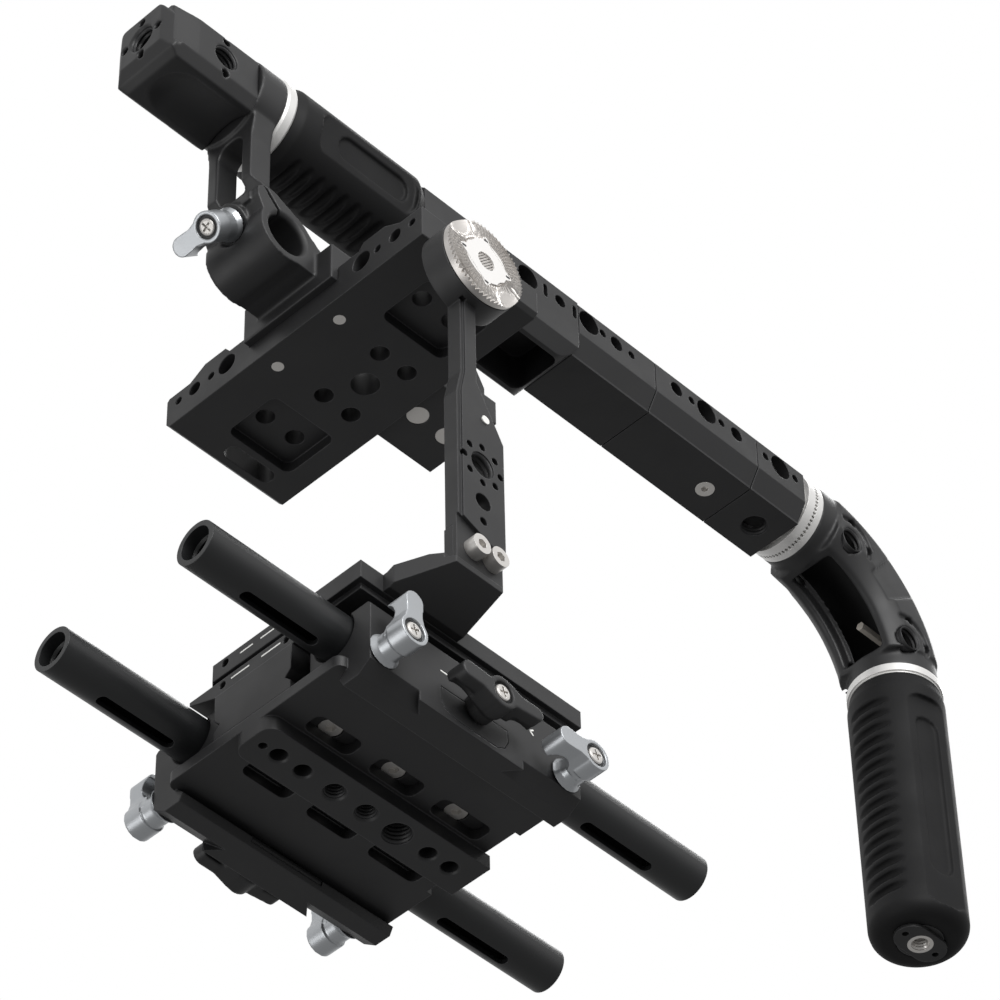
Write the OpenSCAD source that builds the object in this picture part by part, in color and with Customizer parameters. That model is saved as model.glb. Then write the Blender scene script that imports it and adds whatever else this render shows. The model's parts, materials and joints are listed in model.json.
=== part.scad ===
// Camera base rig. Millimetres. Origin at the 3/8 tripod hole on the bottom.
// +X is the operator's left, +Y points to the rear, +Z is up.

/* [Rods] */
// Rod diameter
rod_d = 15; // [14:0.5:16]
// Rod spacing, centre to centre
rod_pitch = 60; // [58:0.5:64]
// Rod length
rod_len = 203.2; // [150:0.1:300]
// Rod wall
rod_wall = 1.8; // [1:0.1:3]
// Rod centre above the bottom
rod_z = 21.7; // [20.5:0.1:25]

/* [Base] */
// Rod centre to side face
side_t = 15; // [14:0.5:20]
// Tripod hole to front edge
hole_front = 58.5; // [57:0.5:70]
// Tripod hole to rear edge
hole_rear = 30.5; // [29:0.5:45]
// Clamp faces set back from the front edge
clamp_set = 3.5; // [1:0.5:6]
// Depth of the dovetail channel
chan_h = 5.3; // [4.5:0.1:6]
// Deck thickness
deck_t = 3.9; // [3:0.1:5]
// Width of the strip with the tripod holes
strip_w = 16; // [14:0.5:17]
// Half width of the channel's mouth
mouth_hw = 32.6; // [31:0.1:34]
// Grid of the tripod holes
hole_grid = 12.7; // [12:0.1:13.5]

/* [Plates] */
// Keel width
keel_w = 32; // [30:0.5:33]
// Depth of the keel's grooves
groove_h = 2.4; // [1.5:0.1:2.8]
// Dovetail plate width
dove_w = 55; // [50:0.5:60]
// Dovetail plate thickness
dove_t = 5.7; // [5:0.1:7]
// Cage plate edge on the plain side
cage_r = 30; // [28:0.5:40]
// Cage plate edge on the arm side
cage_l = 44; // [40:0.5:46]
// Cage plate thickness
cage_t = 8.6; // [8:0.1:11]

/* [Levers] */
// Length of a rod lever's arm
lever_len = 11.5; // [9.5:0.5:12.5]
// Radius of a rod lever's hub
lever_hub_r = 5.2; // [4.6:0.1:5.6]
// Height of a rod lever
lever_h = 13; // [11:0.5:15]
// Radius of a rod lever's stud
stud_r = 2.5; // [2:0.1:2.8]
// Half length of a wing lever
wing_len = 16.4; // [14:0.2:18]
// Height of a wing lever
wing_h = 11.2; // [10:0.2:13]
// Radius of a wing lever's stud
wing_pin_r = 2; // [1.6:0.1:2.1]

/* [Side arm] */
// Inner face of the arm
arm_x = 57; // [55:0.5:62]
// Thickness of the arm
arm_t = 6; // [5.5:0.1:8]
// Rosette diameter
rosette_d = 31.8; // [30:0.1:33]
// Rosette thickness
rosette_t = 3.1; // [2.6:0.1:4]
// Teeth round the rosette
rosette_teeth = 48; // [36:2:60]
// Depth of a rosette tooth
tooth_h = 0.55; // [0.3:0.05:0.55]

/* [Top plate] */
// Clear height of the camera bay
bay_h = 141.1; // [135:0.1:170]
// Half width of the top plate
top_hw = 58.6; // [56:0.2:64]
// Thickness of the top plate
top_t = 13.1; // [12.6:0.1:15]
// Front edge of the top plate
top_front = 45.8; // [45:0.2:47]
// Depth of the top plate
top_d = 50; // [48:1:60]

/* [Post] */
// Rod bore in the post
post_bore = 15.06; // [14.9:0.02:15.2]
// Half width of the post
post_hw = 13; // [12:0.5:14]
// Bore above the top plate's underside
post_up = 24.3; // [23:0.1:27]
// Bore in front of the tripod hole
post_out = 60.9; // [60:0.1:62]
// Half width of the post's column
col_hw = 10; // [9.5:0.1:11]
// Front of the column ahead of the bore
col_out = 14.2; // [13.5:0.1:15]
// Thickness of the column
col_t = 8.9; // [8:0.1:9.2]
// Half width of the column's window
win_hw = 5.7; // [5:0.1:6]

/* [Handle] */
// Handle axis above the post's bore
handle_up = 62.1; // [60:0.1:75]
// Front of the handle block
block_front = 114.8; // [112:0.2:125]
// Half width of the handle block
block_hw = 14.5; // [13:0.1:16]
// Top grip diameter
grip_d = 35; // [33:0.5:38]
// Radius of the handle's core tube
core_r = 9; // [8.5:0.1:9.5]
// Rear end of the handle body
body_rear = 71; // [68:0.5:75]
// Length of the first beam piece
beam_a = 38; // [36:0.5:45]
// Length of the second beam piece
beam_b = 51.6; // [50:0.2:60]
// Half width of the beam
beam_hw = 15.3; // [14.5:0.1:16]
// Half height of the beam
beam_hh = 14.8; // [14:0.1:15.5]
// Rear end of the beam
beam_rear = 185.3; // [182:0.1:200]

/* [Rear grip] */
// Swivel ring diameter
swivel_d = 31.4; // [30:0.2:32]
// Notches round a swivel ring
swivel_teeth = 64; // [48:2:72]
// Bend radius of the elbow
bend_r = 50; // [48:0.5:56]
// Elbow diameter
elbow_d = 31.6; // [30:0.2:32]
// Rear grip diameter
rear_d = 34.4; // [32:0.2:37]
// Rear grip length
rear_len = 110; // [100:1:125]
// Ribs on the rear grip
rear_ribs = 16; // [12:1:18]

/* [Clearances] */
// Gap between sliding faces
slide_gap = 0.3; // [0.2:0.05:0.5]
// Radial gap of shafts that turn or slide
run_gap = 0.05; // [0.02:0.01:0.09]
// Outline gap round the side covers
cover_gap = 0.25; // [0.15:0.05:0.4]

/* [Hidden] */
$fn = 64;
e = 0.01;
rx = rod_pitch / 2;
rr = rod_d / 2;
side_x = rx + side_t;
front = -hole_front;
rear = hole_rear;
clamp_y = front + clamp_set;
deck_z = chan_h + deck_t;
side_z = rod_z + 4.5;
lever_z = rod_z - rr - 5.5;
wing_z = rod_z - rr - 3.8;
lever_ys = [clamp_y + 5, rear - 6.5];
wing_y = -hole_grid;
lever_low = 4.8;
khw = keel_w / 2;
groove_z = deck_z + 5.3;
flank = slide_gap * sqrt(2);
wall_in = rx - 9.6;
keel_z = side_z + 0.5;
dove_z = keel_z + dove_t;
cage_z = dove_z + cage_t;
top_z = cage_z + bay_h;
arm_y = -30;
boss_z = top_z - 9.9;
boss_r = 16;
foot_z = cage_z + 2.4;
screw_z = cage_z + 10.7;
screw_ys = [arm_y, arm_y + 7.6];
arm_o = arm_x + arm_t;
ros_x = arm_o + 3.5;
py = -post_out;
pz = top_z + post_up;
tilt = 132.85;
p0 = [0, py - 13.3, pz + 4];
hz = pz + handle_up;
col_y = py - col_out;
col_r = col_y + col_t;
coll_y = -76.5;
ring_y = -65.5;
grip_y = -61;
body_y = -2;
scoop_y = -block_front + 16.8;
leg_y = -top_front + top_d + 0.3;
beam_cuts = [body_rear, body_rear + beam_a, body_rear + beam_a + beam_b, beam_rear];
sw_y = beam_rear + 6.2;
el_y = sw_y + slide_gap + 3.2;
el_z = hz - bend_r;
gy = el_y + bend_r;
lr_z = el_z - 4.5;
gr_z = lr_z - rear_len;
big_r = 4.76;
quarter_r = 3.175;
piv_r = 5;

black = [0.09, 0.09, 0.10];
grey = [0.16, 0.16, 0.17];
rubber = [0.05, 0.05, 0.05];
silver = [0.72, 0.75, 0.78];
steel = [0.62, 0.62, 0.62];

module xcyl(r, x0, x1, y, z) { translate([x0, y, z]) rotate([0, 90, 0]) cylinder(r = r, h = x1 - x0); }
module ycyl(r, y0, y1, x, z) { translate([x, y0, z]) rotate([-90, 0, 0]) cylinder(r = r, h = y1 - y0); }
module zcyl(r, z0, z1, x, y) { translate([x, y, z0]) cylinder(r = r, h = z1 - z0); }
module ycone(ra, rb, y0, y1, x, z) {
  translate([x, y0, z]) rotate([-90, 0, 0]) cylinder(r1 = ra, r2 = rb, h = y1 - y0);
}
module xcone(ra, rb, x0, x1, y, z) {
  translate([x0, y, z]) rotate([0, 90, 0]) cylinder(r1 = ra, r2 = rb, h = x1 - x0);
}
module zcone(ra, rb, z0, z1, x, y) { translate([x, y, z0]) cylinder(r1 = ra, r2 = rb, h = z1 - z0); }
module box(x0, x1, y0, y1, z0, z1) { translate([x0, y0, z0]) cube([x1 - x0, y1 - y0, z1 - z0]); }
module along_x(x0, x1) { translate([x0, 0, 0]) rotate([90, 0, 90]) linear_extrude(x1 - x0) children(); }
module along_y(y0, y1) { translate([0, y1, 0]) rotate([90, 0, 0]) linear_extrude(y1 - y0) children(); }
module along_z(z0, z1) { translate([0, 0, z0]) linear_extrude(z1 - z0) children(); }
module both() { children(); mirror([1, 0, 0]) children(); }
module rrect(x0, x1, y0, y1, r) {
  translate([x0 + r, y0]) square([x1 - x0 - 2 * r, y1 - y0]);
  translate([x0, y0 + r]) square([x1 - x0, y1 - y0 - 2 * r]);
  for (x = [x0 + r, x1 - r]) for (y = [y0 + r, y1 - r]) translate([x, y]) circle(r);
}

// Base: rod clamps, deck, rails, strip, jaw pockets.
module shield(g) {
  polygon([[wing_y - 14 - g, wing_z + 0.6 + g], [wing_y + 13 + g, wing_z + 0.6 + g],
    [wing_y + 13 + g, wing_z - 4], [wing_y + 11.6 + g * 0.7, wing_z - 6.8 - g * 0.7],
    [wing_y + 8.6, wing_z - 8.3 - g], [wing_y - 8.6, wing_z - 8.3 - g],
    [wing_y - 12.4 - g * 0.7, wing_z - 6.8 - g * 0.7], [wing_y - 14 - g, wing_z - 4]]);
}
module base() {
  color(black) difference() {
    union() {
      along_y(clamp_y, rear) polygon([[wall_in, chan_h], [mouth_hw + 2.6, chan_h],
        [mouth_hw, 2.8], [mouth_hw + 1.4, 0], [side_x, 0], [side_x, side_z - 1], [side_x - 1, side_z],
        [wall_in, side_z]]);
      along_y(clamp_y, rear) polygon([[-khw - flank, chan_h], [-mouth_hw - 2.6, chan_h],
        [-mouth_hw, 2.8], [-mouth_hw - 1.4, 0], [-side_x, 0], [-side_x, side_z - 1], [-side_x + 1, side_z],
        [-khw - flank, side_z], [-khw - flank, groove_z + groove_h], [-khw - flank + groove_h, groove_z],
        [-khw - flank, groove_z - groove_h]]);
      along_z(chan_h, deck_z) rrect(-mouth_hw - 3.4, mouth_hw + 3.4, front, rear - 2, 3);
      along_z(0, chan_h) rrect(-strip_w / 2, strip_w / 2, front, rear, 4.5);
      along_z(0, chan_h) translate([-strip_w / 2, rear - 10]) square([strip_w, 10]);
    }
    both() ycyl(rr + run_gap, clamp_y - 1, rear + 1, rx, rod_z);
    both() ycone(rr + 0.9, rr, clamp_y - e, clamp_y + 0.9, rx, rod_z);
    both() intersection() {
      along_y(clamp_y - 1, rear + 1) polygon([[side_x - 5, -e], [side_x + e, 3.6], [side_x + e, -e]]);
      along_z(-1, 4) { polygon([[side_x - 6, clamp_y - 2], [side_x + 1, clamp_y - 2], [side_x + 1, clamp_y + 18.6],
          [side_x - 6, clamp_y + 25]]);
        polygon([[side_x - 6, rear + 2], [side_x + 1, rear + 2], [side_x + 1, rear - 23], [side_x - 6, rear - 29]]); }
    }
    both() for (w = [[-47.5, -29.5], [-22, -4], [3, 23]]) along_z(chan_h - 1, deck_z + e)
      rrect(strip_w / 2 + 1.2, strip_w / 2 + 8.8, w[0], w[1], 2.6);
    both() for (y = lever_ys) xcyl(stud_r + run_gap, rx - 7, side_x + 1, y, lever_z);
    xcyl(wing_pin_r + run_gap, wall_in - 3, side_x + 1, wing_y, wing_z);
    xcyl(wing_pin_r + run_gap, -side_x - 1, -mouth_hw - 2, wing_y, wing_z);
    both() along_x(side_x - 2.8, side_x + 1) shield(cover_gap);
    box(-side_x + 5.1, -mouth_hw + 1, wing_y - 14.3, wing_y + 14.3, 1.6, 5);
    box(-side_x + 5.1, -mouth_hw - 1.6, wing_y - 5.3, wing_y + 5.3, 4.9, wing_z + 2.1);
    zcyl(big_r, -1, deck_z + 1, 0, 0);
    for (i = [-1, -2]) { zcyl(quarter_r, -1, deck_z + 1, 0, i * hole_grid);
      zcone(quarter_r + 0.7, quarter_r, -e, 0.7, 0, i * hole_grid); }
    for (y = [-3 * hole_grid, hole_grid, -3.75 * hole_grid, 1.7 * hole_grid]) {
      zcyl(2.6, -1, deck_z + 1, 0, y); zcone(3.2, 2.6, -e, 0.6, 0, y); }
    zcyl(1.4, -1, deck_z + 1, 0, front + 4.7);
  }
}
module cover_l() { color(black) difference() {
  along_x(side_x - 2.8, side_x) shield(0); xcyl(wing_pin_r + 0.3, side_x - 4, side_x + 1, wing_y, wing_z); } }
module cover_r() { mirror([1, 0, 0]) cover_l(); }

// Sliding keel and its screws.
screw_at = [for (x = [-1, 1]) for (y = [-38.1, -12.7, 13]) [x * (khw - 4.6), y]];
module keel() {
  color(black) difference() {
    along_y(front, rear) polygon([[-khw, deck_z + 0.15], [-khw, groove_z - groove_h], [-khw + groove_h, groove_z],
      [-khw, groove_z + groove_h], [-khw, keel_z], [khw, keel_z], [khw, groove_z + groove_h],
      [khw - groove_h, groove_z], [khw, groove_z - groove_h], [khw, deck_z + 0.15]]);
    for (p = screw_at) { zcyl(3.9, deck_z - 1, deck_z + 3.2, p[0], p[1]);
      zcyl(2.5, deck_z + 3, keel_z + 1, p[0], p[1]); }
    along_z(deck_z - 1, deck_z + 6) rrect(-6, 6, front + 8, rear - 8, 3);
  }
}
module block_screws() { color(steel) for (p = screw_at) difference() {
  union() { zcyl(3.6, deck_z + 0.5, deck_z + 3.2, p[0], p[1]); zcyl(2.5, deck_z + 3.1, keel_z + 3, p[0], p[1]); }
  translate([p[0], p[1], deck_z]) cylinder(r = 1.7, h = 2.2, $fn = 6); } }

// Clamp jaws.
module jaw_l() { color(grey) difference() {
  along_y(wing_y - 17.5, wing_y + 17.5) polygon([[khw + flank, deck_z + 0.3], [khw + flank, groove_z - groove_h],
    [khw + flank - groove_h, groove_z], [khw + flank, groove_z + groove_h], [khw + flank, groove_z + 4],
    [wall_in - 1.1, groove_z + 4], [wall_in - 1.1, deck_z + 0.3]]);
  xcyl(wing_pin_r + 0.3, wall_in - 2.9, wall_in, wing_y, wing_z); } }
module jaw_r() { color(grey) difference() {
  union() { along_y(wing_y - 14, wing_y + 14) polygon([[-side_x + 6.4, 1.9], [-side_x + 6.4, 4.7],
      [-mouth_hw - 1.4, 4.7], [-mouth_hw - 0.5, 3.4], [-mouth_hw - 0.5, 2.6], [-mouth_hw - 0.9, 1.9]]);
    box(-side_x + 6.4, -side_x + 9.6, wing_y - 5, wing_y + 5, 4.6, wing_z + 1.8); }
  xcyl(wing_pin_r + 0.3, -side_x + 5, -side_x + 8.4, wing_y, wing_z); } }

// Wing levers, drawn on the +X side at rest with the rear wing lower.
module wing_shape() {
  circle(5.6);
  polygon([[-4.6, 3], [-wing_len + 3, 4], [-wing_len + 3, -2.2], [-8, -2.6], [-3, -5], [4.6, -3],
    [wing_len - 2, -2.4], [wing_len - 2, 2.4], [8, 2.6], [3, 5]]);
  translate([-wing_len + 3.1, 0.9]) circle(3.1);
  translate([wing_len - 2.4, 0]) circle(2.4);
}
module wing_l() { color(black) translate([side_x + 0.4, wing_y, wing_z]) rotate([3, 0, 0]) difference() {
  union() { xcyl(5, 0, wing_h, 0, 0); along_x(wing_h - 7, wing_h) wing_shape(); }
  xcyl(wing_pin_r, -1, wing_h + 1, 0, 0);
  xcyl(3.7, wing_h - 1.6, wing_h + 1, 0, 0);
  xcyl(7, -1, wing_h - 4.4, wing_len - 3.6, -7.2);
  xcyl(7, -1, wing_h - 4.4, 3.6 - wing_len, -7.4);
} }
module wing_r() { mirror([1, 0, 0]) wing_l(); }
module wing_stud(x1) { difference() {
  union() { xcyl(wing_pin_r, x1, side_x + wing_h - 0.8, wing_y, wing_z);
    xcone(3.6, 3, side_x + wing_h - 1.2, side_x + wing_h + 1.4, wing_y, wing_z); }
  for (a = [0, 90]) translate([side_x + wing_h + 1.4, wing_y, wing_z]) rotate([a, 0, 0]) cube([2.4, 0.9, 4], center = true);
} }
module wing_stud_l() { color(steel) wing_stud(wall_in - 1.5); }
module wing_stud_r() { color(steel) mirror([1, 0, 0]) wing_stud(side_x - 7.6); }

// Rod lever along +Z, arm along +X, standing on z = 0.
module lever_body() { difference() {
  union() {
    zcyl(lever_hub_r - 0.7, 0.4, 6.5, 0, 0);
    zcone(lever_hub_r + 0.6, lever_hub_r - 0.7, 0.4, 2.2, 0, 0);
    zcyl(lever_hub_r, 6.4, lever_h, 0, 0);
    along_z(lever_low, lever_h) union() {
      polygon([[0, -lever_hub_r + 0.4], [lever_len * 0.55, -3.1], [lever_len, -3.4], [lever_len, 3.4],
        [lever_len * 0.55, 3.1], [0, lever_hub_r - 0.4]]);
      translate([lever_len, 0]) circle(3.4);
    }
  }
  zcyl(stud_r, -1, lever_h + 1, 0, 0);
  zcyl(3.9, lever_h - 1.2, lever_h + 1, 0, 0);
  translate([lever_hub_r + 3.2, 0, 3.6]) rotate([90, 0, 0]) translate([0, 0, -6]) cylinder(r = 4.2, h = 12);
} }
module lever_stud(deep) { difference() {
  union() { zcyl(stud_r, -deep, lever_h - 0.6, 0, 0);
    zcone(3.8, 3.2, lever_h - 1.2, lever_h + 0.9, 0, 0); }
  for (a = [0, 90]) translate([0, 0, lever_h + 0.9]) rotate([0, 0, a]) cube([4.4, 1, 2.2], center = true);
} }
// Side placement: index of the clamp, turn of the arm (0 is up).
module at_side(i, turn) { translate([side_x, lever_ys[i], lever_z]) rotate([turn, 0, 0]) rotate([0, 90, 0])
  rotate([0, 0, 180]) children(); }
module lever_fl() { color(silver) at_side(0, 0) lever_body(); }
module lever_rl() { color(silver) at_side(1, 90) lever_body(); }
module lever_fr() { color(silver) mirror([1, 0, 0]) at_side(0, 0) lever_body(); }
module lever_rr() { color(silver) mirror([1, 0, 0]) at_side(1, 0) lever_body(); }
module stud_fl() { color(steel) at_side(0, 0) lever_stud(side_t + 6.4); }
module stud_rl() { color(steel) at_side(1, 0) lever_stud(side_t + 6.4); }
module stud_fr() { color(steel) mirror([1, 0, 0]) at_side(0, 0) lever_stud(side_t + 6.4); }
module stud_rr() { color(steel) mirror([1, 0, 0]) at_side(1, 0) lever_stud(side_t + 6.4); }

// Rods: tubes with a slot below at each end.
module rod(x) { difference() {
  ycyl(rr, -109, -109 + rod_len, x, rod_z);
  ycyl(rr - rod_wall, -110, -108 + rod_len, x, rod_z);
  for (y = [-91, -109 + rod_len - 47]) along_z(rod_z - rr - 1, rod_z)
    rrect(x - 2, x + 2, y, y + 29, 1.9);
} }
module rod_l() { color(grey) rod(rx); }
module rod_r() { color(grey) rod(-rx); }

// Sliding plates.
cam_y = [-26, 4];
module dovetail_plate() { color(black) difference() {
  along_y(front + 0.4, rear + 2) polygon([[-khw, keel_z], [khw, keel_z], [dove_w / 2, dove_z - 1.4],
    [dove_w / 2, dove_z], [-dove_w / 2, dove_z], [-dove_w / 2, dove_z - 1.4]]);
  for (x = [-13.4, 13.4]) ycyl(1.4, front - 1, front + 8, x, keel_z + 3.4);
  for (p = screw_at) zcyl(2.5, keel_z - 1, keel_z + 3, p[0], p[1]);
  for (y = cam_y) zcyl(7.4, keel_z + 1.6, dove_z + 1, 0, y);
} }
module cage_shape(g) { polygon([[-cage_r + g, front + 12 + g * 0.4], [-cage_r + 12 + g * 0.4, front + 0.5 + g],
  [cage_l - g, front + 0.5 + g], [cage_l - g, rear + 2.5 - g], [-cage_r + 5 + g, rear + 2.5 - g],
  [-cage_r + g, rear - 2.5 - g]]); }
module cage_plate() { color(black) difference() {
  union() { along_z(dove_z, dove_z + 2) cage_shape(2); along_z(dove_z + 1.9, cage_z) cage_shape(0); }
  for (y = cam_y) { zcyl(quarter_r + 0.2, dove_z - 1, cage_z + 1, 0, y); zcyl(6.8, dove_z - 1, dove_z + 3.6, 0, y); }
  ycyl(1.5, front - 1, front + 9, -12.7, dove_z + 6.3);
  both() for (y = [-44, -11, 21]) zcyl(quarter_r, cage_z - 6, cage_z + 1, 16, y);
  along_z(cage_z - 2.5, cage_z + 1) rrect(24, 37, -40, -18, 3);
  along_z(cage_z - 2.5, cage_z + 1) rrect(24, 37, -8, 18, 3);
} }
module camera_screws() { color(steel) for (y = cam_y) difference() {
  union() { zcyl(6.4, dove_z + 0.4, dove_z + 3.6, 0, y); zcyl(quarter_r - 0.05, dove_z + 3.5, cage_z + 6, 0, y); }
  box(-7, 7, y - 0.7, y + 0.7, dove_z - 1, dove_z + 1.8); } }

// Side bracket, arm and rosette.
module side_bracket() { color(black) difference() {
  along_y(arm_y - 19, arm_y + 11) polygon([[cage_l, dove_z + 2], [cage_l + 2.6, dove_z + 2],
    [arm_o - 0.2, foot_z - 2.2], [arm_o - 0.2, foot_z], [arm_x + 3, foot_z], [arm_x + 3, cage_z + 18],
    [arm_x - 0.5, cage_z + 18], [arm_x - 0.5, cage_z + 4], [cage_l + 1.5, cage_z], [cage_l, cage_z]]);
  along_z(dove_z, cage_z + 30) polygon([[cage_l + 3, arm_y - 20], [arm_o + 1, arm_y - 20], [arm_o + 1, arm_y - 7]]);
  box(arm_x - 1, arm_o + 1, arm_y - 20, arm_y - 6.5, cage_z + 4, cage_z + 19);
  for (y = screw_ys) xcyl(2, arm_x - 2, arm_x + 4, y, screw_z);
} }
module foot_screws() { color(steel) for (y = screw_ys) difference() {
  union() { xcyl(3.5, arm_o - 1.5, arm_o + 2.7, y, screw_z); xcyl(2, arm_x - 0.5, arm_o - 1.4, y, screw_z); }
  translate([arm_o + 0.6, y, screw_z]) rotate([0, 90, 0]) cylinder(r = 1.75, h = 3, $fn = 6); } }
module arm_shape() {
  polygon([[arm_y - 6.5, foot_z], [arm_y + 12.5, foot_z], [arm_y + 12.5, cage_z + 62.7],
    [arm_y + 1.5, cage_z + 82.7], [arm_y + 1.5, boss_z], [arm_y - 4.5, boss_z], [arm_y - 4.5, cage_z + 84],
    [arm_y - 6.5, cage_z + 74]]);
}
hole_y = arm_y + 3.4;
hole_z = cage_z + 48;
module side_arm() { color(black) difference() {
  union() { along_x(arm_x, arm_o) arm_shape(); xcyl(boss_r, arm_x + 0.5, ros_x, arm_y, boss_z); }
  box(arm_x - 1, arm_x + 3, arm_y - 20, arm_y + 20, foot_z - 1, cage_z + 18);
  along_x(arm_o - 1.5, arm_o + 1) polygon([[arm_y - 7, foot_z - 1], [arm_y + 13, foot_z - 1],
    [arm_y + 13, cage_z + 14], [arm_y - 7, cage_z + 22]]);
  for (y = screw_ys) xcyl(2, arm_x - 1, arm_o + 1, y, screw_z);
  along_x(arm_o - 0.7, arm_o + 1) polygon([[arm_y - 7, cage_z + 20], [arm_y - 4.9, cage_z + 19],
    [arm_y - 4.9, cage_z + 75], [arm_y - 3.2, cage_z + 84], [arm_y - 3.2, boss_z - 14], [arm_y - 5, boss_z - 14],
    [arm_y - 5, cage_z + 84], [arm_y - 7, cage_z + 74]]);
  xcyl(big_r, arm_x - 1, arm_o + 1, hole_y, hole_z);
  for (a = [0 : 45 : 315]) xcyl(1.3, arm_o - 3.5, arm_o + 1, hole_y + 7.5 * cos(a), hole_z + 7.5 * sin(a));
  xcyl(quarter_r, arm_x - 1, arm_o + 1, hole_y, hole_z - 15.7);
  xcyl(1.5, arm_x - 1, arm_o + 1, hole_y, hole_z - 23.8);
  xcyl(1.5, arm_o - 4, arm_o + 1, arm_y + 4.8, cage_z + 68.3);
  for (y = [-6, 6]) { xcyl(1.7, arm_x - 1, ros_x + 1, arm_y + y, top_z + 2.4);
    xcyl(3, ros_x - 3, ros_x + 1, arm_y + y, top_z + 2.4); }
  xcyl(5.2, ros_x - 8, ros_x + 1, arm_y, boss_z);
} }
module arm_screws() { color(steel) for (y = [-6, 6]) {
  xcyl(3, ros_x - 3, ros_x - 0.1, arm_y + y, top_z + 2.4);
  xcyl(1.7, arm_x - 9, ros_x - 2.9, arm_y + y, top_z + 2.4); } }
module arm_pin() { color([0.9, 0.9, 0.88]) xcyl(1.5, arm_o - 4, arm_o + 0.4, arm_y + 4.8, cage_z + 68.3); }
tooth_angles = [for (i = [0 : rosette_teeth - 1]) let (a = i * 360 / rosette_teeth)
  if (abs(a % 180 - 50) > 27) a];
module rosette() { face = rosette_t - tooth_h; color(silver) translate([ros_x, arm_y, boss_z]) difference() {
  union() {
    xcyl(rosette_d / 2, 0, face, 0, 0);
    xcyl(7.2, 0, rosette_t, 0, 0);
    for (a = tooth_angles) rotate([a, 0, 0]) translate([face, 0, rosette_d / 4 + 5.1]) rotate([0, 0, 45])
      cube([tooth_h * 1.414, tooth_h * 1.414, rosette_d / 2 - 11], center = true);
  }
  xcyl(5.2, -1, rosette_t + 1, 0, 0);
  for (a = [50, 230]) rotate([a, 0, 0]) xcyl(5.4, face - 0.6, rosette_t + 1, 0, 15.5);
  for (p = [[0, 9.2], [9.2, 0], [0, -9.2], [-9.2, 0]]) box(0.8, rosette_t + 1, p[0] - 0.8, p[0] + 0.8, p[1] - 0.45, p[1] + 0.45);
} }
module rosette_insert() { color(steel) difference() {
  xcyl(5.2, ros_x - 8, ros_x + rosette_t - 0.4, arm_y, boss_z);
  xcyl(3, ros_x - 9, ros_x + rosette_t + 1, arm_y, boss_z);
  xcone(3, 3.9, ros_x + rosette_t - 1.2, ros_x + rosette_t - 0.3, arm_y, boss_z);
} }

// Top plate.
seat_z = top_z + 8.4;
module top_shape() { polygon([[-top_hw, top_z + 1.5], [-top_hw + 1.5, top_z], [top_hw - 1.5, top_z],
  [top_hw, top_z + 1.5], [top_hw, top_z + top_t - 1], [top_hw - 1, top_z + top_t], [48, top_z + top_t],
  [41, top_z + top_t + 3.8], [31.5, top_z + top_t + 3.8], [29.5, top_z + top_t + 1.2], [-29.5, top_z + top_t + 1.2],
  [-31.5, top_z + top_t + 3.8], [-41, top_z + top_t + 3.8], [-48, top_z + top_t], [-top_hw + 1, top_z + top_t],
  [-top_hw, top_z + top_t - 1]]); }
module top_plate() { color(black) difference() {
  union() { along_y(-top_front, -top_front + top_d) top_shape();
    box(-15, 15, -top_front + top_d - 6, 30, top_z + 3, top_z + top_t); }
  box(-20.3, 20.3, -top_front - 1, arm_y, seat_z, top_z + 40);
  box(arm_x + 0.5, top_hw + 1, -top_front - 1, arm_y + 17, top_z - 1, top_z + 40);
  both() ycyl(3.85, -top_front - 1, -top_front + 12, 30.6, top_z + 8.95);
  both() for (x = [37.9, 53.1]) ycyl(1.5, -top_front - 1, -top_front + 8, x, top_z + 8.95);
  both() ycyl(2.55, -top_front - 1, -top_front + 10, 45.6, top_z + 8.95);
  both() along_z(top_z - 1, top_z + 4.5) rrect(24, 46, -31, -4, 3);
  both() for (y = [-24, -11]) zcyl(quarter_r, top_z, top_z + 30, 35.6, y);
  both() along_z(top_z - 1, top_z + 30) rrect(48.5, 54.5, -26, -6, 2.9);
  both() for (y = [-20, -8]) zcyl(quarter_r, top_z - 1, top_z + 30, 12.7, y);
  zcyl(big_r, top_z - 1, top_z + 30, 0, -14);
  for (y = [-6, 6]) xcyl(1.7, arm_x - 10, arm_x + 4, arm_y + y, top_z + 2.4);
  for (x = [-14, 14]) zcyl(2, top_z - 1, seat_z + 1, x, arm_y - 9);
  for (y = [9.5, 22.5]) { zcyl(2, top_z, top_z + 30, 0, y); zcyl(3.8, top_z + 2, top_z + 7, 0, y); }
} }

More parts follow.
